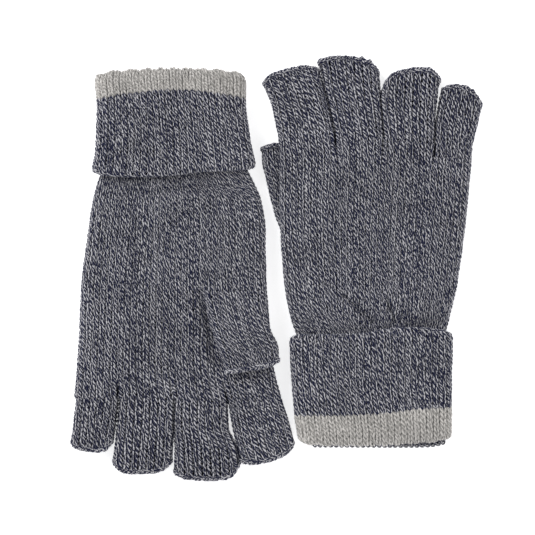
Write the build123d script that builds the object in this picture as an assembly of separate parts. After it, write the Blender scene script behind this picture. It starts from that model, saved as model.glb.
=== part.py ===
from build123d import *
import os

# A pair of fingerless knitted gloves lying flat on a surface at z = 0. The left
# glove lies palm up with its fingers towards -Y and its thumb on top of the palm.
# The right glove lies back up with its fingers towards +Y and its thumb beneath.
#
# Each glove is drawn in its own frame, in millimetres: the origin is the middle
# of the cuff's hand-side fold, +Y runs to the fingertips, and the thumb side is -X.
# Points along the thumb side are "left" and points along the little finger side
# are "right". The two gloves are then placed in the frame of the pair.

os.makedirs("parts", exist_ok=True)

# Fabric and heights
FABRIC = 1.6             # wall of one knitted layer of the hand and fingers
THUMB_FABRIC = 1.2       # the thumb is knitted finer and pressed flatter
CUFF_FABRIC = 1.8        # wall of the turned-up cuff
BODY_GAP = 0.4           # clearance between pieces that move on each other
HAND_HEIGHT = 10.5       # hand and finger bases, lying flat
TIP_HEIGHT = 9.0         # finger stalls at their open tips
WRIST_HEIGHT = 8.0       # inner wrist tube, squeezed by the cuff
THUMB_HEIGHT = 7.2
RIM_LENGTH = 2.4         # cast-off edge at the end of each stall
RIM_RISE = 0.4           # how much the cast-off edge stands above the stall
CUFF_HEIGHT = WRIST_HEIGHT + 2 * (BODY_GAP + CUFF_FABRIC)
WRIST_LOW = CUFF_FABRIC + BODY_GAP
BORE_OVERRUN = 1.0       # how far a bore is cut past both ends of its tube

# Thumb pocket
POCKET_CLEARANCE = 2.0   # room beside the right thumb, where it lies under the hand
POCKET_HEIGHT = THUMB_HEIGHT + 0.8
POCKET_ROOF = HAND_HEIGHT - 1.0  # above the thumb, palm and back are pressed together
GUSSET_LENGTH = 14.0     # how far the hood rises from the palm up to the thumb
THUMB_HOLE = (22.0, 8.0)  # hole from the hand into the thumb, across and along

RIGHT = {
    "name": "right",
    "origin": (48.4, -34.6),
    "turn": 0,
    # edges of the inner wrist tube and of the hand, thumb side then little finger side
    "wrist": [((-30.0, -54.0), (36.0, -54.0)), ((-32.5, -8.0), (33.5, -8.0)), ((-37.5, 3.0), (38.0, 3.0))],
    "hand": [((-37.5, 3.0), (38.0, 3.0)), ((-43.5, 25.0), (44.5, 25.0)), ((-46.3, 57.0), (49.1, 57.0)),
             ((-46.8, 85.0), (51.3, 85.0)), ((-48.4, 108.5), (53.6, 97.2))],
    "cuff": [((-38.6, -57.0), (42.4, -57.0)), ((-40.3, -40.0), (42.6, -38.4)), ((-41.6, -1.0), (42.1, 0.5))],
    # name, span along the knuckle line, tip of the thumb-side edge, tip of the other edge
    "stalls": [("index", (0.0, 29.8), (-55.7, 133.0), (-27.4, 139.5)),
               ("middle", (30.8, 56.0), (-26.2, 144.0), (5.1, 142.0)),
               ("ring", (56.7, 82.6), (7.4, 137.0), (36.6, 137.5)),
               ("little", (83.3, 102.6), (38.8, 130.5), (57.8, 120.5))],
    "thumb": [((-47.4, 60.5), (-14.0, 60.5)), ((-56.0, 96.5), (-29.0, 101.0))],
    "thumb_low": 0.0,
}

LEFT = {
    "name": "left",
    "origin": (-53.0, 48.6),
    "turn": 180,
    "wrist": [((-32.0, -52.0), (35.0, -52.0)), ((-32.5, -8.0), (34.0, -8.0)), ((-38.0, 3.0), (38.5, 3.0))],
    "hand": [((-38.0, 3.0), (38.5, 3.0)), ((-45.5, 25.0), (43.9, 25.0)), ((-47.5, 57.0), (48.3, 57.0)),
             ((-51.0, 85.0), (49.3, 85.0)), ((-56.0, 117.3), (52.5, 115.6))],
    "cuff": [((-37.2, -54.6), (41.6, -54.0)), ((-37.0, -42.5), (41.0, -41.5)), ((-41.1, -2.5), (42.6, 0.5))],
    "stalls": [("index", (0.0, 28.8), (-61.3, 142.0), (-33.2, 150.5)),
               ("middle", (29.7, 56.9), (-32.2, 158.0), (0.1, 158.0)),
               ("ring", (57.6, 86.0), (1.6, 154.0), (32.0, 154.0)),
               ("little", (86.8, 108.5), (33.0, 143.0), (53.4, 142.5))],
    "thumb": [((-48.0, 60.5), (-14.5, 60.5)), ((-53.4, 95.5), (-27.0, 102.0))],
    "thumb_low": HAND_HEIGHT + 0.3,
}


def section(edges, low, high, inset=0.0, ahead=0.0):
    """Upright stadium-shaped section of a flattened tube, between two edge points."""
    left, right = Vector(*edges[0]), Vector(*edges[1])
    across = right - left
    along = Vector(-across.Y, across.X).normalized()
    middle = (left + right) * 0.5 + along * ahead
    plane = Plane(
        origin=(middle.X, middle.Y, (low + high) / 2),
        x_dir=across.normalized(),
        z_dir=along,
    )
    return plane * SlotOverall(across.length - 2 * inset, high - low - 2 * inset)


def skin_and_bore(stations, wall):
    """Outer solid of a tube through stations of (edges, low, high), and the bore inside it."""
    last = len(stations) - 1
    ahead = [BORE_OVERRUN * ((i == last) - (i == 0)) for i in range(last + 1)]
    skin = loft([section(*station) for station in stations], ruled=True)
    bore = loft([section(*station, wall, a) for station, a in zip(stations, ahead)], ruled=True)
    return skin, bore


def tube(stations, wall):
    """Knitted tube through its stations, open at both ends."""
    skin, bore = skin_and_bore(stations, wall)
    return skin - bore


def moved_ahead(edges, distance):
    """The two edge points, moved along the tube at right angles to their line."""
    left, right = Vector(*edges[0]), Vector(*edges[1])
    across = (right - left).normalized()
    step = Vector(-across.Y, across.X) * distance
    return tuple(((p + step).X, (p + step).Y) for p in (left, right))


def knuckle_span(glove, span):
    """Two points on the line across the finger crotches, at distances from its thumb side."""
    left, right = (Vector(*point) for point in glove["hand"][-1])
    way = (right - left).normalized()
    return tuple(((left + way * s).X, (left + way * s).Y) for s in span)


def plate(points, low, high):
    """Upright prism over a plan outline, used to cut pockets."""
    return Pos(0, 0, low) * extrude(make_face(Polyline(*points, close=True)), high - low)


def wrist_tube(glove):
    stations = [(edges, WRIST_LOW, WRIST_LOW + WRIST_HEIGHT) for edges in glove["wrist"]]
    return tube(stations, FABRIC)


def hand_tube(glove):
    """Palm and back in one flattened tube, with the hole that the thumb opens from."""
    heel, *rest = glove["hand"]
    stations = [(heel, WRIST_LOW, WRIST_LOW + WRIST_HEIGHT)]
    stations += [(edges, 0, HAND_HEIGHT) for edges in rest]
    skin, bore = skin_and_bore(stations, FABRIC)
    if glove["thumb_low"] > 0:
        return skin - bore - thumb_hole(glove, HAND_HEIGHT - 2 * FABRIC, HAND_HEIGHT + 1)
    pocket = thumb_pocket(glove, POCKET_CLEARANCE, POCKET_HEIGHT)
    lined_pocket = thumb_pocket(glove, POCKET_CLEARANCE + FABRIC, POCKET_ROOF)
    return (skin - pocket) - (bore - lined_pocket) - thumb_mouth(glove)


def thumb_pocket(glove, clearance, height):
    """Space under the right hand that its thumb lies in, open at the thumb side."""
    (_, base_right), (_, tip_right) = glove["thumb"]
    outside = glove["hand"][-1][0][0] - 20
    low_y = base_right[1] - BODY_GAP - (clearance - POCKET_CLEARANCE)
    high_y = tip_right[1] + clearance
    points = [
        (outside, low_y),
        (base_right[0] + clearance, low_y),
        (tip_right[0] + clearance, high_y),
        (outside, high_y),
    ]
    return plate(points, -1, height)


def thumb_mouth(glove):
    """Hole through the pocket's end wall, from the hand into the right thumb."""
    (base_left, base_right), _ = glove["thumb"]
    middle = (base_left[0] + base_right[0]) / 2
    across, along = THUMB_HOLE
    height = THUMB_HEIGHT - 2 * THUMB_FABRIC
    return Pos(middle, base_left[1] - along / 2, THUMB_HEIGHT / 2) * Box(across, along, height)


def thumb_hole(glove, low, high):
    """Upright hole through the palm under the left glove's gusset."""
    (base_left, base_right), _ = glove["thumb"]
    middle = (base_left[0] + base_right[0]) / 2
    across, along = THUMB_HOLE
    return Pos(middle, base_left[1] - along / 2 - FABRIC, (low + high) / 2) * Box(across, along, high - low)


def thumb_gusset(glove):
    """Hood that rises from the left palm to the thumb, open below and to the thumb."""
    base, _ = glove["thumb"]
    top = glove["thumb_low"] + THUMB_HEIGHT
    end = moved_ahead(base, -BODY_GAP)
    start = moved_ahead(base, -GUSSET_LENGTH)
    bore_start = moved_ahead(base, -GUSSET_LENGTH + 2 * FABRIC)
    start_top = HAND_HEIGHT + 2.0
    bore_low = HAND_HEIGHT - 2.0
    outer = loft(
        [section(start, HAND_HEIGHT, start_top), section(end, HAND_HEIGHT, top)],
        ruled=True,
    )
    bore = loft(
        [
            section(bore_start, bore_low, start_top, THUMB_FABRIC),
            section(end, bore_low, top, THUMB_FABRIC, BORE_OVERRUN),
        ],
        ruled=True,
    )
    return outer - bore


def finger(base, tip, heights, wall):
    """A cut-off stall from its base to its open tip, and its cast-off rim."""
    (base_low, base_high), (tip_low, tip_high) = heights
    rim_start = moved_ahead(tip, -RIM_LENGTH)
    stall = tube([(base, base_low, base_high), (rim_start, tip_low, tip_high)], wall)
    _, bore = skin_and_bore([(rim_start, tip_low, tip_high), (tip, tip_low, tip_high)], wall)
    ends = [section(edges, tip_low, tip_high + RIM_RISE) for edges in (rim_start, tip)]
    return stall, loft(ends, ruled=True) - bore


def cuff_parts(glove):
    """The turned-up cuff, and the contrast stripe that ends it at the wrist opening."""
    free_edge, boundary, fold = [(edges, 0, CUFF_HEIGHT) for edges in glove["cuff"]]
    return tube([boundary, fold], CUFF_FABRIC), tube([free_edge, boundary], CUFF_FABRIC)


def glove_parts(glove):
    """Every piece of one glove, by name, in the glove's own frame."""
    parts = {"hand": hand_tube(glove), "wrist": wrist_tube(glove)}
    parts["cuff"], parts["cuff_stripe"] = cuff_parts(glove)
    for name, span, tip_left, tip_right in glove["stalls"]:
        base = moved_ahead(knuckle_span(glove, span), BODY_GAP)
        heights = ((0, HAND_HEIGHT), (0, TIP_HEIGHT))
        parts[name + "_stall"], parts[name + "_rim"] = finger(base, (tip_left, tip_right), heights, FABRIC)
    low = glove["thumb_low"]
    heights = ((low, low + THUMB_HEIGHT), (low, low + THUMB_HEIGHT - RIM_RISE))
    parts["thumb_stall"], parts["thumb_rim"] = finger(*glove["thumb"], heights, THUMB_FABRIC)
    if low > 0:
        parts["thumb_gusset"] = thumb_gusset(glove)
    return parts


for pair_half in (LEFT, RIGHT):
    place = Location((*pair_half["origin"], 0), (0, 0, pair_half["turn"]))
    for part_name, solid in glove_parts(pair_half).items():
        node = pair_half["name"] + "_" + part_name
        placed = place * solid
        placed.label = node
        export_step(placed, "parts/" + node + ".step")
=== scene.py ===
import bpy
import numpy as np
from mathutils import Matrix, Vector


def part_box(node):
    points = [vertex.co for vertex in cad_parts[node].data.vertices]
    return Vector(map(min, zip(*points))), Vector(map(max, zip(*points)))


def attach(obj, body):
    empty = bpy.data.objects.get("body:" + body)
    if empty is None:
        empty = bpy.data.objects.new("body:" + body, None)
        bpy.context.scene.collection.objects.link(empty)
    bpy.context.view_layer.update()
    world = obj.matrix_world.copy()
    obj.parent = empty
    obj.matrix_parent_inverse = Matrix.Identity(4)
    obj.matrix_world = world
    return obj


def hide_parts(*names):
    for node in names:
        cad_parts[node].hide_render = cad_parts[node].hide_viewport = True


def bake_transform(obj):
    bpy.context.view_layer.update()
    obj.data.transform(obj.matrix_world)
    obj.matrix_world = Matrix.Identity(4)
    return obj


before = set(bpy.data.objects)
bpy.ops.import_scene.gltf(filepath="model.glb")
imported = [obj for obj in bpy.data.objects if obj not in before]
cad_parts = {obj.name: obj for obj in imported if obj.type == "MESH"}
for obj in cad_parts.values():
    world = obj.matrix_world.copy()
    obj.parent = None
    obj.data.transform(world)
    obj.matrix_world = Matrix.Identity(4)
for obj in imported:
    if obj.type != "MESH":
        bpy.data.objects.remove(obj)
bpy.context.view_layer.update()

# ---------------------------------------------------------------------------
# A pair of fingerless knitted gloves. Every knitted tube is made of its real
# yarn: one yarn per course, looped stitch by stitch, over a thin core of fabric
# that closes the holes between the loops.
#
# Each glove is laid out in its own frame in millimetres: the origin is near the
# middle of the cuff's hand-side fold, +Y runs to the fingertips, the thumb side is
# -X, and left and right mean the thumb side and the little finger side. Outlines are
# those of the finished glove, so the middle of the fabric lies SKIN inside them.
# ---------------------------------------------------------------------------

MM = 0.001
PI = np.pi
COURSE = 2.3          # height of one stitch
WALE = 3.2            # width of a stitch that the yarn's thickness is set for
SKIN = 1.0            # from the middle of the fabric to the glove's outline
YARN_RADIUS = 0.66
THINNEST, THICKEST = 0.75, 1.15  # limits of the yarn's thickness as stitches narrow and widen
HEAD_THINNING = 0.05  # how much thinner the yarn is in a loop's bends, and thicker in its legs
LOOP_HEIGHT = 1.66    # height of a loop, in courses: each loop reaches into the next
LOOP_LEAN = 0.19      # how far a loop's legs lean, in stitch widths
LOOP_DEPTH = 0.62     # how far the yarn moves in and out of the fabric
LEG_SHIFT = 0.03      # how far the two legs of a loop stand nearer to each other
LOOP_NOISE = (0.05, 0.035, 0.11, 0.11, 0.05)  # of its height, swing, lift, slip and thickness
PLIES = 3             # thin yarns twisted into the knitting yarn, each dark on one side
TWIST = 7.5           # length of one turn of the plies
UNEVEN = 0.12         # how unevenly they are twisted, in turns
PLY_GROOVE = 0.09     # depth of the groove between the plies, as a share of the radius
STEPS = 14            # points along one stitch
SIDES = 8             # points round the yarn
LOOP_SAG = 0.3        # loops hang under a glove's outline, so the gloves are raised by this
CORE_INSET = 0.30     # the core lies this far under the middle of the fabric
CORE_THICKNESS = 0.5
CORE_SHARE = 0.12     # share of a piece's texture that its core takes
END_FADE = 12.0       # how far from a tube's end the shift of that end dies out
ROLL_TURN = 1.75      # angle in radians that the knitting of a rolled end turns in by
RIM_STEPS = 16        # points along one link of a cast-off edge
RIM_INSET = 1.05      # how far inside a tube's end its cast-off edge runs
RIM_SWING = 0.72      # how far the edge's strands swing along the tube
RIM_OUT = 0.55        # how far the edge stands out from the fabric
RIM_WEAVE = 0.50      # how far its strands pass over and under each other
RIM_NOISE = 0.26      # how uneven its links are


# ---------------------------------------------------------------------------
# Small helpers
# ---------------------------------------------------------------------------


def smooth(x, low, high):
    """0 below low, 1 above high, and a soft step between."""
    t = np.clip((np.asarray(x, float) - low) / (high - low), 0, 1)
    return t * t * (3 - 2 * t)


def between(x, low, high, soft):
    """1 between low and high, fading to 0 over soft outside them."""
    return smooth(x, low - soft, low) * (1 - smooth(x, high, high + soft))


def curve_through(knots, values):
    """Smooth function through (knot, value) pairs that never overshoots them."""
    x = np.asarray(knots, float)
    y = np.asarray(values, float)
    h = np.diff(x)
    slope = np.diff(y) / h
    tangent = np.zeros_like(y)
    tangent[0], tangent[-1] = slope[0], slope[-1]
    for i in range(1, len(x) - 1):
        if slope[i - 1] * slope[i] > 0:
            w1, w2 = 2 * h[i] + h[i - 1], h[i] + 2 * h[i - 1]
            tangent[i] = (w1 + w2) / (w1 / slope[i - 1] + w2 / slope[i])

    def at(t):
        t = np.asarray(t, float)
        i = np.clip(np.searchsorted(x, t, side="right") - 1, 0, len(h) - 1)
        s = (t - x[i]) / h[i]
        before, after = np.minimum(s, 0) * h[i], np.maximum(s - 1, 0) * h[i]
        s = np.clip(s, 0, 1)
        value = (1 + 2 * s) * (1 - s) ** 2 * y[i] + s * s * (3 - 2 * s) * y[i + 1]
        bend = s * (1 - s) ** 2 * h[i] * tangent[i] - s * s * (1 - s) * h[i] * tangent[i + 1]
        return value + bend + before * tangent[i] + after * tangent[i + 1]

    return at


# ---------------------------------------------------------------------------
# Tubes
# ---------------------------------------------------------------------------


class Tube:
    """Flattened tube through stations of (left point, right point, low, high, edge).

    low and high are its outer heights, and edge is how deep its two rounded sides are.
    start and end give how far its two ends are shifted along it, from the place across
    (-1 to 1) and the height (1 on top, -1 beneath).
    rolls are the radii that the two ends turn in with. shape moves the finished points.
    """

    def __init__(self, stations, start=None, end=None, rolls=(0, 0), shape=None):
        left = np.array([s[0] for s in stations], float)
        right = np.array([s[1] for s in stations], float)
        steps = np.hypot(*np.diff((left + right) / 2, axis=0).T)
        knots = np.concatenate([[0], np.cumsum(steps)])
        self.length = knots[-1]
        columns = [*left.T, *right.T, *np.array([s[2:5] for s in stations], float).T]
        self.curves = [curve_through(knots, column) for column in columns]
        self.start, self.end = start, end
        self.rolls, self.shape = rolls, shape

    def rolled(self, t):
        """How far along and how far inwards a point is, with the two ends turned in."""
        along, inset = t.copy(), np.zeros_like(t)
        for end, radius in zip((0, 1), self.rolls):
            if radius:
                over = radius - t if end == 0 else t - (self.length - radius)
                turn = np.clip(over / radius, 0, PI)
                reach = radius - radius * np.sin(turn)
                edge = reach if end == 0 else self.length - reach
                along = np.where(over > 0, edge, along)
                inset = inset + radius * (1 - np.cos(turn))
        return along, inset

    def place(self, a, t):
        """Points: a runs 0 to 1 over the top from left to right and 1 to 2 back beneath."""
        a, t = np.broadcast_arrays(np.asarray(a, float), np.asarray(t, float))
        t, inset = self.rolled(t)
        lx, ly, rx, ry, low, high, edge = [curve(t) for curve in self.curves]
        width = np.hypot(rx - lx, ry - ly)
        ax, ay = (rx - lx) / width, (ry - ly) / width
        half, tall = width / 2 - SKIN - inset, (high - low) / 2 - SKIN - inset
        edge = np.clip(edge - inset, 0.5, half * 0.9)
        quarter = PI / 2 * np.sqrt((edge**2 + tall**2) / 2)
        flat = 2 * (half - edge)
        a = a % 2
        run = np.where(a > 1, 2 - a, a) * (2 * quarter + flat)
        side = np.where(run > quarter + flat / 2, 1.0, -1.0)
        run = np.where(side > 0, 2 * quarter + flat - run, run)
        angle = np.clip(run / quarter, 0, 1) * PI / 2
        x = side * (flat / 2 + edge * np.cos(angle) - np.maximum(run - quarter, 0))
        rise = np.where(a > 1, -1, 1) * tall * np.sin(angle)
        across = x / half
        shift = np.zeros_like(t)
        if self.end:
            near_end = smooth(t, self.length - END_FADE, self.length)
            shift = shift + self.end(across, rise / tall) * near_end
        if self.start:
            near_start = 1 - smooth(t, 0, END_FADE)
            shift = shift + self.start(across, rise / tall) * near_start
        points = np.stack(
            [
                (lx + rx) / 2 + ax * x - ay * shift,
                (ly + ry) / 2 + ay * x + ax * shift,
                (low + high) / 2 + rise,
            ],
            -1,
        )
        return self.shape(points, rise, tall, x, t) if self.shape else points

    def surface(self, a, t):
        """Points, outward normals and how many millimetres one unit of a is."""
        da, dt = 2e-3, 0.1
        round_it = (self.place(a + da, t) - self.place(a - da, t)) / (2 * da)
        along_it = self.place(a, t + dt) - self.place(a, t - dt)
        normal = np.cross(round_it, along_it)
        normal /= np.maximum(np.linalg.norm(normal, axis=-1, keepdims=True), 1e-9)
        return self.place(a, t), normal, np.linalg.norm(round_it, axis=-1)

    def span(self):
        """Where its knitting starts and ends, with rolled ends turned in."""
        first, last = (radius * (ROLL_TURN - 1) if radius else 0 for radius in self.rolls)
        return -first, self.length + last


# ---------------------------------------------------------------------------
# Meshes
# ---------------------------------------------------------------------------


def build_mesh(name, points, quads, layers, slots, materials):
    """Mesh object from points in metres, quads, named UV layers and a slot per quad."""
    mesh = bpy.data.meshes.new(name)
    mesh.vertices.add(len(points))
    mesh.vertices.foreach_set("co", points.astype(np.float32).ravel())
    mesh.loops.add(quads.size)
    mesh.loops.foreach_set("vertex_index", quads.astype(np.int32).ravel())
    mesh.polygons.add(len(quads))
    mesh.polygons.foreach_set("loop_start", np.arange(0, quads.size, 4, dtype=np.int32))
    mesh.polygons.foreach_set("loop_total", np.full(len(quads), 4, np.int32))
    mesh.polygons.foreach_set("material_index", slots.astype(np.int32))
    mesh.polygons.foreach_set("use_smooth", np.ones(len(quads), bool))
    mesh.update(calc_edges=True)
    for layer, uv in layers.items():
        mesh.uv_layers.new(name=layer).data.foreach_set("uv", uv.astype(np.float32).ravel())
    for material in materials:
        mesh.materials.append(material)
    obj = bpy.data.objects.new(name, mesh)
    bpy.context.scene.collection.objects.link(obj)
    return obj


def neighbour(values, closed):
    """Each point's next point along its yarn."""
    return np.roll(values, -1, 1) if closed else np.concatenate([values[:, 1:], values[:, -1:]], 1)


def sweep(centre, up, radius, phase, closed):
    """Rings of points round yarns. centre and up are (yarns, points, 3)."""
    if closed:
        tangent = np.roll(centre, -1, 1) - np.roll(centre, 1, 1)
    else:
        tangent = np.gradient(centre, axis=1)
    tangent /= np.linalg.norm(tangent, axis=-1, keepdims=True)
    side = np.cross(tangent, up)
    side /= np.linalg.norm(side, axis=-1, keepdims=True)
    up = np.cross(side, tangent)
    turn = np.arange(SIDES) / SIDES
    ply = 1 - PLY_GROOVE * np.cos(2 * PI * PLIES * (turn - phase[..., None]))
    reach = radius[..., None] * ply
    sideways = (reach * np.cos(2 * PI * turn))[..., None] * side[:, :, None, :]
    upward = (reach * np.sin(2 * PI * turn))[..., None] * up[:, :, None, :]
    return centre[:, :, None, :] + sideways + upward


def uneven_twist(yarns, count, rng):
    """Extra length of twist at each point and, as a last one, back at the first."""
    knots = max(3, count // 6)
    extra = rng.normal(0, UNEVEN * TWIST, (yarns, knots + 1))
    extra[:, -1] = extra[:, 0]
    place = np.linspace(0, knots, count + 1)
    return np.stack([np.interp(place, np.arange(knots + 1), row) for row in extra])


def yarn_parts(centre, up, radius, closed, rng, strips=2):
    """Points in mm, quads and the two UV layers of yarns that have the same number of points.

    The layer Yarn holds the length along the yarn in mm and the turn round it, and
    OFBake lays each yarn out in strips of its own.
    """
    yarns, count, _ = centre.shape
    step = np.linalg.norm(neighbour(centre, closed) - centre, axis=-1)
    length = np.concatenate([np.zeros((yarns, 1)), np.cumsum(step, 1)], 1)
    if closed:
        length *= np.round(length[:, -1:] / TWIST) * TWIST / length[:, -1:]
    length += rng.uniform(0, TWIST, (yarns, 1)) + uneven_twist(yarns, count, rng)
    points = sweep(centre, up, radius, length[:, :count] / TWIST, closed).reshape(-1, 3)
    spans = count if closed else count - 1
    i = np.arange(spans)[None, :, None]
    k = np.arange(SIDES)[None, None, :]
    y = np.arange(yarns)[:, None, None]
    here = (y * count + i) * SIDES
    ahead = (y * count + (i + 1) % count) * SIDES
    corners = [here + k, ahead + k, ahead + (k + 1) % SIDES, here + (k + 1) % SIDES]
    quads = np.stack(np.broadcast_arrays(*corners), -1).reshape(-1, 4)
    on = np.array([0, 1, 1, 0])
    round_it = np.array([0, 0, 1, 1])
    per_strip = int(np.ceil(spans / strips))
    strip, place = np.divmod(i, per_strip)
    turn = (k[..., None] + round_it) / SIDES
    u = (place[..., None] + on) / per_strip
    v = ((y * strips + strip)[..., None] + 0.06 + 0.88 * turn) / (yarns * strips)
    v = CORE_SHARE + (1 - CORE_SHARE) * v
    bake = np.stack(np.broadcast_arrays(u, v), -1).reshape(-1, 2)
    index = (np.broadcast_to(i, (yarns, spans, SIDES))[..., None] + on).reshape(yarns, -1)
    along = np.take_along_axis(length, index, 1).reshape(yarns, spans, SIDES, 4)
    yarn = np.stack([along, np.broadcast_to(turn, along.shape)], -1).reshape(-1, 2)
    return points, quads, yarn, bake


def caps(yarns, count):
    """Three quads that close each end of an open eight-sided yarn."""
    fan = np.array([[0, 1, 2, 3], [0, 3, 4, 7], [4, 5, 6, 7]])
    start = np.arange(yarns)[:, None, None] * count * SIDES + fan
    end = start[..., ::-1] + (count - 1) * SIDES
    return np.concatenate([start.reshape(-1, 4), end.reshape(-1, 4)])


def core_parts(tube, a_span, t_span, columns, rows, closed):
    """Closed sheet of fabric under the loops: points, quads and bake UVs."""
    a = np.linspace(*a_span, columns + (not closed), endpoint=not closed)
    a, t = np.meshgrid(a, np.linspace(*t_span, rows))
    place, normal, _ = tube.surface(a, t)
    outer = place - normal * CORE_INSET
    inner = place - normal * (CORE_INSET + CORE_THICKNESS)
    count = a.shape[1]
    layer = rows * count
    i = np.arange(rows - 1)[:, None] * count
    j = np.arange(count if closed else count - 1)[None, :]
    k = (j + 1) % count
    corners = [i + j, i + k, i + count + k, i + count + j]
    sheet = np.stack(np.broadcast_arrays(*corners), -1).reshape(-1, 4)
    first = np.stack([k[0], j[0], j[0] + layer, k[0] + layer], -1)
    last = first[:, ::-1] + (rows - 1) * count
    quads = [sheet, sheet[:, ::-1] + layer, first, last]
    if not closed:
        edge = np.stack([i[:, 0], i[:, 0] + count, i[:, 0] + count + layer, i[:, 0] + layer], -1)
        quads += [edge, edge[:, ::-1] + count - 1]
    quads = np.concatenate(quads)
    wide = np.tile(np.linspace(0, 1, count), 2 * rows)
    halves = [np.linspace(low, low + 0.44, rows) for low in (0.02, 0.52)]
    tall = np.concatenate([np.repeat(half, count) for half in halves])
    uv = np.stack([wide, tall * CORE_SHARE], -1)
    points = np.concatenate([outer.reshape(-1, 3), inner.reshape(-1, 3)])
    return points, quads, uv[quads].reshape(-1, 2)


def stitch_noise(rng, courses, wales, amount):
    """Random value per stitch, with neighbours alike."""
    raw = rng.normal(0, 1, (courses + 2, wales + 2))
    soft = raw[1:-1, 1:-1] * 2 + raw[:-2, 1:-1] + raw[2:, 1:-1] + raw[1:-1, :-2] + raw[1:-1, 2:]
    return soft * amount / np.sqrt(8)


def loops(tube, wales, a_span, t_span, closed, rng, thickness):
    """Centre lines, outward directions and radii of a piece's yarns, one yarn per course."""
    courses = max(1, int(round((t_span[1] - t_span[0]) / COURSE)))
    pitch = (t_span[1] - t_span[0]) / courses
    count = wales * STEPS + (not closed)
    theta = np.arange(count) * 2 * PI / STEPS
    wale = np.minimum(np.arange(count) // STEPS, wales - 1)
    within = np.sin(theta / 2) ** 2
    noise = [stitch_noise(rng, courses, wales, amount)[:, wale] for amount in LOOP_NOISE]
    tall, swing, lift, slip, thick = noise
    offset = 0.5 if closed else 0.0
    x = theta / (2 * PI) - offset + LOOP_LEAN * np.sin(2 * theta) + LEG_SHIFT * np.sin(theta)
    x = x + swing * within
    v = -LOOP_HEIGHT / 2 * np.cos(theta) * (1 + tall * within) + slip * within
    a = a_span[0] + (a_span[1] - a_span[0]) * x / wales
    t = t_span[0] + (np.arange(courses)[:, None] + 0.5 + v) * pitch
    place, up, stretch = tube.surface(a, t)
    size = np.clip(stretch * (a_span[1] - a_span[0]) / wales / WALE, THINNEST, THICKEST) * thickness
    w = -LOOP_DEPTH * size * np.cos(2 * theta) + lift * within
    radius = YARN_RADIUS * size * (1 + thick) * (1 - HEAD_THINNING * np.cos(2 * theta))
    return place + up * w[..., None], up, radius


def knit(name, glove, tube, wales, t_span, finish, seed, a_span=(0.0, 2.0), thickness=1.0):
    """A knitted piece: its looped yarns over its core, in one object."""
    rng = np.random.RandomState(seed)
    closed = a_span[1] - a_span[0] == 2
    centre, up, radius = loops(tube, wales, a_span, t_span, closed, rng, thickness)
    courses, count = radius.shape
    points, quads, yarn, bake = yarn_parts(centre, up, radius, closed, rng)
    if not closed:
        ends = caps(courses, count)
        quads = np.concatenate([quads, ends])
        yarn = np.concatenate([yarn, np.zeros((ends.size, 2))])
        bake = np.concatenate([bake, np.full((ends.size, 2), CORE_SHARE)])
    core, core_quads, core_bake = core_parts(tube, a_span, t_span, wales, courses * 2 + 1, closed)
    slots = np.repeat([0, 1], [len(quads), len(core_quads)])
    layers = {
        "Yarn": np.concatenate([yarn, np.zeros((core_quads.size, 2))]),
        "OFBake": np.concatenate([bake, core_bake]),
    }
    quads = np.concatenate([quads, core_quads + len(points)])
    points = glove.world(np.concatenate([points, core]))
    return build_mesh(name, points, quads, layers, slots, FINISHES[finish])


def plait(name, glove, tube, links, finish, seed):
    """Cast-off edge: three strands plaited round the end of a tube."""
    rng = np.random.RandomState(seed)
    count = links * RIM_STEPS
    phase = np.arange(count) * 2 * PI / RIM_STEPS
    strands = np.array([0, 2 * PI / 3, 4 * PI / 3])[:, None]
    a = np.broadcast_to(np.arange(count) * 2 / count, (3, count))
    link = np.arange(count) // RIM_STEPS
    uneven = stitch_noise(rng, 3, links, RIM_NOISE)[:, link] * np.sin(phase / 2) ** 2
    t = tube.length - RIM_INSET + RIM_SWING * np.sin(phase + strands) + uneven
    place, up, _ = tube.surface(a, t)
    out = RIM_OUT + RIM_WEAVE * np.sin(2 * (phase + strands)) + uneven * 0.5
    radius = np.full((3, count), YARN_RADIUS) * (1 + uneven * 0.4)
    points, quads, yarn, bake = yarn_parts(place + up * out[..., None], up, radius, True, rng, 1)
    layers = {"Yarn": yarn, "OFBake": bake}
    slots = np.zeros(len(quads))
    return build_mesh(name, glove.world(points), quads, layers, slots, FINISHES[finish][:1])


# ---------------------------------------------------------------------------
# Materials
# ---------------------------------------------------------------------------


STRAND_ROUND = 1.1    # how fast the strands' noise changes round the yarn
STRAND_ALONG = 0.55   # and along it, per millimetre


def linear(red, green, blue):
    """A colour given in sRGB, 0 to 255, as Blender takes it."""
    return [((c / 255 + 0.055) / 1.055) ** 2.4 for c in (red, green, blue)] + [1.0]


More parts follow.
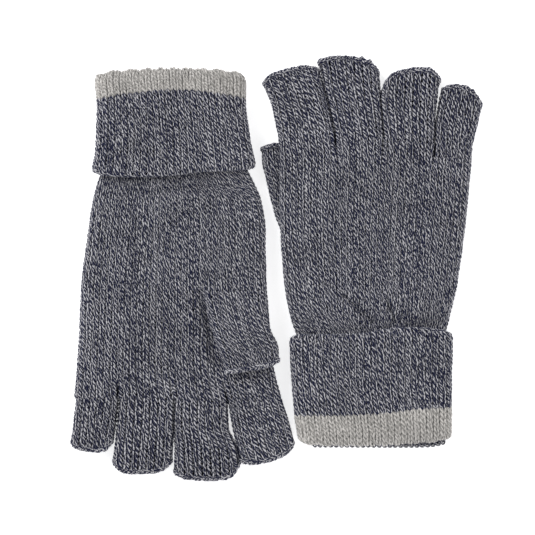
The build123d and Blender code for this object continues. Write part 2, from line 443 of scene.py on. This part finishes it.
class Nodes:
    """Shader nodes of a new material, added and linked in one call each."""

    def __init__(self, name):
        self.material = bpy.data.materials.new(name)
        self.material.use_nodes = True
        self.tree = self.material.node_tree
        self.shader = self.tree.nodes["Principled BSDF"]

    def add(self, kind, inputs, output=0, **settings):
        node = self.tree.nodes.new(kind)
        for key, value in settings.items():
            setattr(node, key, value)
        for key, value in inputs.items():
            if isinstance(value, bpy.types.NodeSocket):
                self.tree.links.new(value, node.inputs[key])
            else:
                node.inputs[key].default_value = value
        return node.outputs[output]

    def math(self, operation, *values):
        return self.add("ShaderNodeMath", dict(enumerate(values)), operation=operation)

    def mix(self, share, first, second, blend="MIX"):
        inputs = {0: share, 6: first, 7: second}
        return self.add("ShaderNodeMix", inputs, 2, data_type="RGBA", blend_type=blend)

    def noise(self, scale, detail=2.0, vector=None):
        """Noise from 0 to 1 over the object, or over a vector given."""
        vector = vector or self.add("ShaderNodeTexCoord", {}, "Object")
        inputs = {"Vector": vector, "Scale": scale, "Detail": detail, "Roughness": 0.6}
        return self.add("ShaderNodeTexNoise", inputs, "Fac")

    def ranged(self, value, low, high, to_low=0.0, to_high=1.0):
        inputs = {0: value, 1: low, 2: high, 3: to_low, 4: to_high}
        return self.add("ShaderNodeMapRange", inputs, interpolation_type="SMOOTHSTEP")

    def cloth(self, colour, height, depth, sheen):
        """Links colour and bump to a rough fabric shader."""
        bump = self.add("ShaderNodeBump", {"Strength": 1.0, "Distance": depth, "Height": height})
        self.tree.links.new(colour, self.shader.inputs["Base Color"])
        self.tree.links.new(bump, self.shader.inputs["Normal"])
        self.shader.inputs["Roughness"].default_value = 0.9
        self.shader.inputs["Specular IOR Level"].default_value = 0.25
        self.shader.inputs["Sheen Weight"].default_value = sheen
        self.shader.inputs["Sheen Tint"].default_value = (0.75, 0.8, 1.0, 1.0)
        self.shader.inputs["Sheen Roughness"].default_value = 0.45
        return self.material


def yarn_material(name, dark, light, share, contrast):
    """Twisted yarn with dark and light fibres side by side in each of its plies.

    share makes the light fibres more (above 0) or fewer, and contrast is how much
    lighter and darker stretches of the yarn differ.
    """
    nodes = Nodes(name)
    uv = nodes.add("ShaderNodeUVMap", {}, uv_map="Yarn")
    split = nodes.add("ShaderNodeSeparateXYZ", {"Vector": uv})
    length, turn = split, split.node.outputs[1]
    twist = nodes.math("SUBTRACT", turn, nodes.math("DIVIDE", length, TWIST))
    angle = nodes.math("MULTIPLY", twist, 2 * PI)
    along = nodes.add(
        "ShaderNodeCombineXYZ",
        {
            "X": nodes.math("MULTIPLY", nodes.math("COSINE", angle), STRAND_ROUND),
            "Y": nodes.math("MULTIPLY", nodes.math("SINE", angle), STRAND_ROUND),
            "Z": nodes.math("MULTIPLY", length, STRAND_ALONG),
        },
    )
    strand = nodes.noise(1.0, 1.0, along)
    fibre = nodes.noise(6.0, 3.0, along)
    drift = nodes.noise(45.0, 1.0)
    ply = nodes.math("SINE", nodes.math("MULTIPLY", angle, PLIES))
    mixed = nodes.math("ADD", ply, nodes.ranged(strand, 0.25, 0.75, -1.0, 1.0))
    mixed = nodes.math("ADD", mixed, nodes.ranged(fibre, 0.2, 0.8, -0.35, 0.35))
    mask = nodes.ranged(nodes.math("ADD", mixed, share), -0.4, 0.4)
    colour = nodes.mix(mask, linear(*dark), linear(*light))
    tone = nodes.math(
        "ADD",
        nodes.ranged(fibre, 0.2, 0.8, 1 - contrast, 1 + contrast),
        nodes.ranged(drift, 0.3, 0.7, -0.08, 0.08),
    )
    grey = nodes.add("ShaderNodeCombineColor", {0: tone, 1: tone, 2: tone})
    colour = nodes.mix(1.0, colour, grey, "MULTIPLY")
    return nodes.cloth(colour, fibre, depth=0.00018, sheen=0.25)


def core_material(name, dark, light):
    """Fabric seen between the loops: the same fibres, matted, darkened with painted shade."""
    nodes = Nodes(name)
    fleck = nodes.noise(900.0, 3.0)
    colour = nodes.mix(nodes.ranged(fleck, 0.4, 0.7), linear(*dark), linear(*light))
    return nodes.cloth(colour, fleck, depth=0.0002, sheen=0.15)


NAVY = (21, 26, 55)
PALE = (204, 203, 207)
# the core's colours: the fibres' own navy, darkened with painted shade for the gaps between the
# loops
NAVY_CORE = ((14, 15, 24), (40, 41, 52))
GREY = (158, 156, 152)
LIGHT_GREY = (216, 212, 208)
# the stripe's core: its own grey, darkened with painted shade in the same way
GREY_CORE = ((140, 138, 134), (172, 170, 166))
FINISHES = {
    "marl_knit": [
        yarn_material("marl_yarn", NAVY, PALE, share=-0.5, contrast=0.3),
        core_material("marl_core", *NAVY_CORE),
    ],
    "stripe_knit": [
        yarn_material("stripe_yarn", GREY, LIGHT_GREY, share=0.1, contrast=0.16),
        core_material("stripe_core", *GREY_CORE),
    ],
}


# ---------------------------------------------------------------------------
# The two gloves
# ---------------------------------------------------------------------------

HAND_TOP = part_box("right_hand")[1].z / MM
CUFF_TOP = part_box("right_cuff")[1].z / MM
TIP_TOP = HAND_TOP - 1.1       # a finger's end lies flatter than the hand
WRIST_SECTION = (4.3, 8.2, 2.0)             # low, high and edge of the wrist's tube,
STALL_BASE = (0.3, HAND_TOP, 2.4)           # of a finger's tube at its base,
STALL_MIDDLE = (0.3, HAND_TOP - 0.5, 2.4)   # along it
STALL_TIP = (0.7, TIP_TOP, 2.6)             # and at its end
FINGER_WALES = (18, 16, 16, 14)  # stitches round each finger,
HAND_WALES = 62                  # and round the other tubes
CUFF_WALES = 50
THUMB_WALES = 22
HAND_SECTIONS = 4
FINGERS = ("index", "middle", "ring", "little")
CREASE = 2.6                   # half width of the crease that runs into each finger crotch
CREASE_RUN = 16.0              # how far a crease runs down the hand
CREASE_DEPTH = 0.95            # share of the hand's thickness that it takes at the crotch
THUMB_ROOM_SOFT = 8.0          # how softly the room for the thumb starts and ends
JOIN_GAP = 0.1                 # the hand and the stalls keep this far off their common line
RIM_LENGTH = 1.8               # the last part of a stall, which its cast-off edge covers
BLEND_LENGTH = 12.0            # how far along a finger from its base the second of its two base points lies
SCALLOP = 7.8                  # pitch of the waves in the cuff's free edge
SCALLOP_REACH = 6              # how far the waves reach into the cuff
BORDER_REACH = 9.0             # how far the bow of the stripe's border reaches on both sides
CUFF_HALF = 40.0               # about half the cuff's width
CUFF_ROLLS = (1.2, 1.4)        # radii that its free edge and its fold turn in with
WRIST_YARN = 0.78              # thickness of the wrist's yarn as a share of the hand's,
STRIPE_YARN = 1.08             # and of the stripe's
CORNER_SHARPNESS = 7           # how late the corners of an end start to round back


def tip(bow, left_corner, right_corner):
    """Shift of a tube's end: bowed outwards, with its two corners rounded back."""

    def shift(across, height):
        on_left = left_corner * np.maximum(-across, 0) ** CORNER_SHARPNESS
        on_right = right_corner * np.maximum(across, 0) ** CORNER_SHARPNESS
        return bow * (1 - across**2) - (on_left + on_right)

    return shift


def dent(points, start, end, depth, width):
    """Depth of a soft furrow along a line across the fabric, in the glove's frame."""
    start, end = np.array(start), np.array(end)
    way = end - start
    offset = points[..., :2] - start
    along = np.clip(offset @ way / (way @ way), 0, 1)
    distance = np.linalg.norm(offset - along[..., None] * way, axis=-1)
    return depth * np.exp(-((distance / width) ** 2))


def ripple(points):
    """Slight unevenness of fabric that lies loose."""
    x, y = points[..., 0], points[..., 1]
    return 0.25 * np.sin(x / 6.3 + y / 14.0) + 0.22 * np.sin(y / 8.7 - x / 17.0 + 1.3)


def wander(points):
    """The rows of stitches don't run quite straight."""
    x, y = points[..., 0].copy(), points[..., 1].copy()
    points[..., 0] += 0.35 * np.sin(y / 12.0 + x / 29.0)
    points[..., 1] += 0.45 * np.sin(x / 10.5 + y / 33.0)


class Glove:
    """One glove: where it lies, and its outlines in its own frame."""

    def __init__(self, side, turned):
        self.side = side
        self.way = -1 if turned else 1

    def put_fold_at(self, left, right_y):
        """Places the frame so that the cuff's fold has these left and right ends."""
        low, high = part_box(self.side + "_cuff")
        corner, far = (low, high) if self.way > 0 else (high, low)
        self.origin = (corner.x / MM - self.way * left, far.y / MM - self.way * right_y)

    def world(self, points):
        """Points of the glove's frame in metres in the frame of the pair."""
        out = points.copy()
        out[..., 0] = self.origin[0] + self.way * points[..., 0]
        out[..., 1] = self.origin[1] + self.way * points[..., 1]
        out[..., 2] += LOOP_SAG
        return out * MM

    def spot(self, x, y):
        """A place at half the hand's height, in the frame of the pair."""
        return Vector(self.world(np.array([x, y, HAND_TOP / 2], float)))

    def hand_shape(self, points, rise, tall, across, t):
        """Creases that run into the crotches, furrows, and the room that the thumb needs."""
        top = 0.5 + 0.5 * rise / tall
        (lx, ly), (rx, ry) = self.hand[-1][:2]
        middle = np.hypot(rx - lx, ry - ly) / 2
        gap = np.min([np.abs(across - (crotch - middle)) for crotch in self.crotches], axis=0)
        gap = np.clip(gap / CREASE, 0, 1)
        pinch = 1 - np.sqrt(1 - (1 - gap) ** 2)
        near_crotch = smooth(t, self.hand_length - CREASE_RUN, self.hand_length)
        points[..., 2] -= CREASE_DEPTH * rise * pinch * near_crotch
        x, y = points[..., 0], points[..., 1]
        beside, along = self.thumb_room
        over_thumb = (1 - smooth(x, *beside)) * between(y, *along, THUMB_ROOM_SOFT)
        lift_top, lift_under = self.thumb_lift
        points[..., 2] += over_thumb * (lift_top * top + lift_under * (1 - top))
        furrows = sum(dent(points, *furrow) for furrow in self.dents)
        points[..., 2] += top * (ripple(points) - furrows)
        wander(points)
        return points

    def cuff_shape(self, points, rise, tall, across, t):
        """The stripe's curved border, the scalloped free edge and a little slackness."""
        top = 0.5 + 0.5 * rise / tall
        across = across / CUFF_HALF
        near_border = np.exp(-(((t - self.stripe) / BORDER_REACH) ** 2))
        border = self.stripe_bow * (1 - across**2) * near_border
        x = points[..., 0] + 1.6 * np.sin(points[..., 0] / 9.0)
        waves = self.scallop * np.cos(2 * PI * x / SCALLOP) * (1 - smooth(t, 0, SCALLOP_REACH))
        points[..., 1] -= border + waves
        furrows = sum(dent(points, *furrow) for furrow in self.cuff_dents)
        points[..., 2] += top * (ripple(points) * 0.8 - furrows) * smooth(t, 0, 8)
        wander(points)
        return points

    def stall_shape(self, points, rise, tall, across, t):
        """A little slackness on top."""
        top = 0.5 + 0.5 * rise / tall
        points[..., 2] += top * ripple(points)
        wander(points)
        return points


def right_glove():
    glove = Glove("right", turned=False)
    glove.put_fold_at(left=-41.6, right_y=0.5)
    glove.hand = [
        ((-35.0, -6), (36.0, -6), *WRIST_SECTION),
        ((-39.0, 2), (39.6, 2), 3.9, 7.9, 2.4),
        ((-42.8, 15), (42.8, 14), 0.5, HAND_TOP - 0.6, 5.0),
        ((-45.1, 28), (45.9, 26), 0.3, HAND_TOP, 5.5),
        ((-47.0, 59), (49.9, 54), 0.3, HAND_TOP, 5.5),
        ((-47.0, 88), (51.8, 80), 0.3, HAND_TOP, 4.6),
        ((-48.8, 108.5), (53.6, 97.2), 0.3, HAND_TOP, 3.2),
    ]
    glove.crotches = (30.3, 56.35, 82.95)
    glove.thumb_room = ((-24.0, -12.0), (60.0, 101.0))
    glove.thumb_lift = (1.8, 7.0)
    glove.dents = [
        ((-23, 62), (-22, 22), 0.9, 2.4),
        ((-20, 44), (6, 12), 0.8, 4.5),
        ((-14, 21), (2, 6), 3.8, 2.0),
        ((9, 17), (13, 6), 3.4, 1.8),
    ]
    glove.wrist = [
        ((-30.5, -57.7), (40.2, -57.9), 4.0, 8.5, 2.0),
        ((-32.0, -47.0), (36.6, -47.0), *WRIST_SECTION),
        ((-32.5, -30.0), (36.0, -30.0), *WRIST_SECTION),
        ((-35.0, -6.2), (36.0, -6.2), *WRIST_SECTION),
    ]
    glove.cuff = [
        ((-37.7, -57.4), (42.8, -55.2), 0.5, CUFF_TOP - 0.8, 5.0),
        ((-38.2, -51.0), (43.0, -48.8), 0.3, CUFF_TOP - 0.1, 5.5),
        ((-39.6, -42.6), (43.1, -37.6), 0.3, CUFF_TOP, 5.6),
        ((-41.0, -20.0), (42.9, -18.0), 0.3, CUFF_TOP, 5.8),
        ((-41.6, -0.5), (43.0, 1.0), 0.3, CUFF_TOP - 0.2, 6.0),
    ]
    glove.stripe_bow, glove.scallop = 0.6, 0.35
    glove.fold_rise = lambda across: 2.2 * smooth(across, -0.15, 0.35)
    glove.cuff_dents = [((-14, -8), (-6, -40), 0.5, 5.0), ((16, -6), (24, -36), 0.5, 5.0)]
    glove.stalls = [
        (
            (0.0, 30.2),
            [((-51.2, 119.5), (-22.2, 122.5))],
            ((-56.4, 134.6), (-26.8, 140.6)),
            tip(1.2, 2.6, 2.6),
        ),
        (
            (30.4, 56.4),
            [],
            ((-26.4, 144.0), (5.3, 142.0)),
            tip(2.0, 1.8, 4.6),
        ),
        (
            (56.3, 82.9),
            [((5.6, 125.0), (35.4, 124.0))],
            ((7.1, 134.8), (36.6, 137.8)),
            tip(2.6, 5.6, 4.4),
        ),
        (
            (83.0, 102.6),
            [((35.6, 116.0), (56.7, 110.0))],
            ((38.8, 129.7), (59.0, 120.6)),
            tip(4.2, 1.0, 0.6),
        ),
    ]
    glove.thumb = [
        ((-44.0, 48), (-16.0, 48), 0.8, 6.4, 2.6),
        ((-47.4, 57), (-15.5, 57), 0.5, 7.0, 2.8),
        ((-49.8, 64), (-17.0, 63.5), 0.4, 7.2, 2.8),
        ((-53.8, 81), (-22.0, 83), 0.4, 7.2, 2.8),
        ((-56.4, 92), (-26.0, 94.5), 0.4, 7.0, 2.8),
        ((-56.6, 98.8), (-28.5, 102.0), 0.6, 6.8, 2.8),
    ]
    glove.thumb_tip = tip(0.8, 0.8, 2.0)
    glove.thumb_base = ((-31, 60.5), (-33.4, 72))
    return glove


def left_glove():
    glove = Glove("left", turned=True)
    glove.put_fold_at(left=-41.1, right_y=0.5)
    glove.hand = [
        ((-35.5, -6.5), (36.5, -6), *WRIST_SECTION),
        ((-40.2, 2), (40.0, 2), 3.9, 7.9, 2.4),
        ((-45.2, 14), (43.1, 14), 0.5, HAND_TOP - 0.8, 5.0),
        ((-47.4, 28), (45.5, 27), 0.3, HAND_TOP, 5.5),
        ((-47.9, 57), (49.1, 56), 0.3, HAND_TOP, 5.2),
        ((-49.2, 78), (49.6, 77), 0.3, HAND_TOP, 4.6),
        ((-51.4, 100), (51.4, 99), 0.3, HAND_TOP, 4.0),
        ((-55.6, 117.3), (52.9, 115.6), 0.3, HAND_TOP, 3.2),
    ]
    glove.crotches = (28.1, 56.1, 85.3)
    glove.thumb_room = ((-20.0, -12.0), (56.0, 96.0))
    glove.thumb_lift = (-1.9, 0.0)
    glove.dents = [
        ((-12.5, 64), (-22.5, 99), 1.6, 3.2),
        ((18, 30), (26, 90), 0.4, 4.0),
        ((-34, 6.5), (8, 7.5), 1.8, 2.4),
    ]
    glove.wrist = [
        ((-31.5, -52.6), (36.0, -52.4), *WRIST_SECTION),
        ((-32.5, -30.0), (35.0, -30.0), *WRIST_SECTION),
        ((-35.5, -6.7), (36.5, -6.2), *WRIST_SECTION),
    ]
    glove.cuff = [
        ((-37.0, -54.0), (41.8, -53.8), 0.5, CUFF_TOP - 0.8, 5.0),
        ((-37.2, -48.0), (42.1, -47.8), 0.3, CUFF_TOP - 0.1, 5.5),
        ((-37.2, -40.0), (41.4, -39.6), 0.3, CUFF_TOP, 5.6),
        ((-38.8, -22.0), (41.4, -20.0), 0.3, CUFF_TOP, 5.8),
        ((-41.9, -3.2), (43.1, 0.9), 0.3, CUFF_TOP - 0.2, 6.0),
    ]
    glove.stripe_bow, glove.scallop = 4.2, 0.55
    glove.fold_rise = lambda across: 0.4 * np.cos(4 * across)
    glove.cuff_dents = [((-16, -10), (-8, -38), 0.4, 5.0), ((12, -8), (20, -34), 0.5, 5.0)]
    glove.stalls = [
        (
            (0.0, 27.8),
            [((-59.0, 127.6), (-29.6, 130.0))],
            ((-62.6, 143.6), (-33.8, 150.6)),
            tip(2.2, 3.0, 1.2),
        ),
        (
            (28.4, 55.9),
            [((-27.5, 131.0), (1.1, 131.0)), ((-31.9, 142.0), (0.6, 143.0))],
            ((-33.9, 157.3), (0.4, 158.2)),
            tip(1.4, 7.4, 2.4),
        ),
        (
            (56.3, 85.1),
            [],
            ((1.9, 154.2), (32.4, 154.0)),
            tip(1.4, 4.2, 4.2),
        ),
        (
            (85.5, 107.4),
            [],
            ((32.6, 142.4), (54.2, 142.0)),
            tip(1.4, 4.8, 1.8),
        ),
    ]
    glove.gusset = [
        ((-45.0, 42.0), (-18.0, 42.0), 2.6, 9.6, 4.0),
        ((-46.4, 51.0), (-15.0, 51.0), 4.6, 11.4, 4.4),
        ((-47.2, 60.3), (-14.0, 60.3), 6.2, 13.0, 4.4),
    ]
    glove.thumb = [
        ((-47.2, 60.3), (-14.0, 60.3), 6.2, 13.0, 4.4),
        ((-47.6, 69.0), (-15.8, 69.5), 8.2, 14.6, 4.0),
        ((-49.6, 80.0), (-19.5, 82.0), 9.0, 15.4, 3.6),
        ((-54.1, 91.0), (-23.8, 94.0), 9.0, 15.4, 3.4),
        ((-54.4, 98.4), (-26.8, 103.2), 9.0, 15.4, 3.4),
    ]
    glove.thumb_base = ((-31.2, 60.5), (-32.6, 72))
    rounded = tip(0.6, 1.4, 0.8)
    lower_lip = 1.1  # the thumb's under layer reaches past the upper one by up to this

    def thumb_tip(across, height):
        return rounded(across, height) + lower_lip * (1 - across**2) * (height < 0)

    glove.thumb_tip = thumb_tip
    return glove


def knuckle_points(glove, span):
    """The points at two distances along the line across the finger crotches."""
    left, right = np.array(glove.hand[-1][0]), np.array(glove.hand[-1][1])
    way = (right - left) / np.linalg.norm(right - left)
    return [tuple(left + way * distance) for distance in span]


def make_hand(glove, seed):
    """Palm and back: one tube from the wrist to the finger crotches, in short sections."""
    tube = Tube(glove.hand, shape=glove.hand_shape)
    glove.hand_length = tube.length
    cuts = np.linspace(0, tube.length - JOIN_GAP, HAND_SECTIONS + 1)
    for i in range(HAND_SECTIONS):
        name = f"{glove.side}_hand_{i + 1}"
        piece = knit(name, glove, tube, HAND_WALES, cuts[i : i + 2], "marl_knit", seed + i)
        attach(piece, glove.side + "_glove")
        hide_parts(glove.side + "_hand")


def make_wrist(glove, seed):
    """Inner tube that the cuff lies around, in two sections."""
    corner = tip(0.0, 0.0, 2.0)
    tube = Tube(glove.wrist, start=lambda across, height: -corner(across, height))
    middle = tube.length / 2
    for i, t_span in enumerate([(0, middle), (middle, tube.length)]):
        name = f"{glove.side}_wrist_{i + 1}"
        piece = knit(
            name, glove, tube, CUFF_WALES, t_span, "marl_knit", seed + i, thickness=WRIST_YARN
        )
        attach(piece, glove.side + "_glove")
        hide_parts(glove.side + "_wrist")


def make_cuff(glove, seed):
    """Turned-up cuff with a soft fold at the hand side and the stripe at its free edge."""
    edge_corners = tip(0.0, 2.4, 2.4)
    fold_corners = tip(0.0, 1.5, 2.4)
    tube = Tube(
        glove.cuff,
        start=lambda across, height: -edge_corners(across, height),
        end=lambda across, height: fold_corners(across, height) + glove.fold_rise(across),
        rolls=CUFF_ROLLS,
        shape=glove.cuff_shape,
    )
    middles = [(np.array(station[0]) + np.array(station[1])) / 2 for station in glove.cuff]
    glove.stripe = sum(np.linalg.norm(b - a) for a, b in zip(middles[:2], middles[1:3]))
    first, last = tube.span()
    half = (glove.stripe + last) / 2
    parts = [
        ("cuff_stripe", "cuff_stripe", (first, glove.stripe), "stripe_knit", STRIPE_YARN),
        ("cuff_1", "cuff", (glove.stripe, half), "marl_knit", 1.0),
        ("cuff_2", "cuff", (half, last), "marl_knit", 1.0),
    ]
    for i, (name, node, t_span, finish, thickness) in enumerate(parts):
        name = f"{glove.side}_{name}"
        piece = knit(name, glove, tube, CUFF_WALES, t_span, finish, seed + i, thickness=thickness)
        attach(piece, glove.side + "_turnup")
        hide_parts(f"{glove.side}_{node}")


def make_stall(glove, finger, tube, wales, base, seed):
    """Cut-off finger tube and its cast-off edge."""
    body = f"{glove.side}_{finger}"
    t_span = (JOIN_GAP, tube.length - RIM_LENGTH)
    stall = knit(body + "_stall", glove, tube, wales, t_span, "marl_knit", seed)
    start, end = (glove.spot(*point) for point in base)
    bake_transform(stall)
    rim = plait(body + "_rim", glove, tube, wales, "marl_knit", seed + 1)
    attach(rim, body)
    for piece, node in ((stall, "_stall"), (rim, "_rim")):
        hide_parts(body + node)


def make_fingers(glove, seed):
    """The four cut-off fingers, side by side from the hand's crotch line."""
    for i, (span, middle, tips, shift) in enumerate(glove.stalls):
        left, right = knuckle_points(glove, span)
        stations = [(left, right, *STALL_BASE)]
        stations += [(*edges, *STALL_MIDDLE) for edges in middle]
        stations += [(*tips, *STALL_TIP)]
        tube = Tube(stations, end=shift, shape=glove.stall_shape)
        start = (np.array(left) + right) / 2
        way = (np.array(tips[0]) + tips[1]) / 2 - start
        end = start + way / np.linalg.norm(way) * BLEND_LENGTH
        make_stall(glove, FINGERS[i], tube, FINGER_WALES[i], (start, end), seed + 2 * i)


def make_thumb(glove, seed):
    """The cut-off thumb, over the left palm and under the right hand."""
    tube = Tube(glove.thumb, end=glove.thumb_tip, shape=glove.stall_shape)
    make_stall(glove, "thumb", tube, THUMB_WALES, glove.thumb_base, seed)


def make_gusset(glove, seed):
    """Hood that rises from the left palm into the thumb: the upper half of a tube."""
    tube = Tube(glove.gusset, shape=glove.stall_shape)
    wales = THUMB_WALES // 2
    whole, upper = (0, tube.length), (0.0, 1.0)
    piece = knit("left_thumb_gusset", glove, tube, wales, whole, "marl_knit", seed, upper)
    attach(piece, "left_glove")
    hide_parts("left_thumb_gusset")


left, right = left_glove(), right_glove()
for number, glove in enumerate((left, right)):
    seed = 100 * (number + 1)
    make_hand(glove, seed)
    make_wrist(glove, seed + 10)
    make_cuff(glove, seed + 20)
    make_fingers(glove, seed + 30)
    make_thumb(glove, seed + 50)
make_gusset(left, 360)


# ---------------------------------------------------------------------------
# Floor, light and camera, in metres
# ---------------------------------------------------------------------------

CAMERA_HEIGHT = 1.2
VIEW_WIDTH = 0.2782            # width of the view at the gloves' middle height
VIEW_CENTRE = (-0.0049, 0.0005)
SENSOR = 36.0                  # millimetres
FLOOR_WIDTH = 8.0
FLOOR_GLOW = 0.65              # a light table, which keeps the shadows on it pale


def make_floor():
    """Plain white floor that glows a little."""
    mesh = bpy.data.meshes.new("floor")
    half = FLOOR_WIDTH / 2
    corners = [(-half, -half, 0), (half, -half, 0), (half, half, 0), (-half, half, 0)]
    mesh.from_pydata(corners, [], [(0, 1, 2, 3)])
    nodes = Nodes("floor_white")
    paper = nodes.noise(6.0, 1.0)
    white = nodes.mix(paper, linear(250, 250, 250), linear(252, 252, 252))
    nodes.tree.links.new(white, nodes.shader.inputs["Base Color"])
    nodes.shader.inputs["Roughness"].default_value = 1.0
    nodes.shader.inputs["Emission Color"].default_value = (1, 1, 1, 1)
    nodes.shader.inputs["Emission Strength"].default_value = FLOOR_GLOW
    nodes.shader.inputs["Specular IOR Level"].default_value = 0.0
    mesh.materials.append(nodes.material)
    floor = bpy.data.objects.new("floor", mesh)
    bpy.context.scene.collection.objects.link(floor)


def make_light(name, place, size, power):
    """Square soft box that faces the middle of the pair."""
    light = bpy.data.lights.new(name, "AREA")
    light.size, light.energy = size, power
    obj = bpy.data.objects.new(name, light)
    obj.location = place
    obj.rotation_euler = (-Vector(place)).to_track_quat("-Z", "Y").to_euler()
    bpy.context.scene.collection.objects.link(obj)


def make_world(horizon, zenith):
    """White tent: brighter low down, so that light rakes over the stitches."""
    world = bpy.data.worlds.new("studio")
    world.use_nodes = True
    tree = world.node_tree
    direction = tree.nodes.new("ShaderNodeTexCoord").outputs["Generated"]
    split = tree.nodes.new("ShaderNodeSeparateXYZ")
    tree.links.new(direction, split.inputs[0])
    strength = tree.nodes.new("ShaderNodeMapRange")
    strength.inputs["To Min"].default_value = horizon
    strength.inputs["To Max"].default_value = zenith
    tree.links.new(split.outputs["Z"], strength.inputs["Value"])
    tree.links.new(strength.outputs[0], tree.nodes["Background"].inputs["Strength"])
    tree.nodes["Background"].inputs["Color"].default_value = (1, 1, 1, 1)
    bpy.context.scene.world = world


def make_camera():
    """Camera straight above the pair."""
    data = bpy.data.cameras.new("camera")
    data.sensor_width = SENSOR
    data.lens = SENSOR * (CAMERA_HEIGHT - HAND_TOP * MM) / VIEW_WIDTH
    data.clip_end = 20
    camera = bpy.data.objects.new("camera", data)
    camera.location = (*VIEW_CENTRE, CAMERA_HEIGHT)
    bpy.context.scene.collection.objects.link(camera)
    bpy.context.scene.camera = camera


make_floor()
make_world(horizon=1.4, zenith=0.2)
make_light("key", place=(-1.3, 1.1, 1.2), size=0.9, power=18)
make_light("fill", place=(1.4, -1.0, 1.2), size=1.2, power=6)
make_camera()
bpy.context.scene.view_settings.view_transform = "Standard"
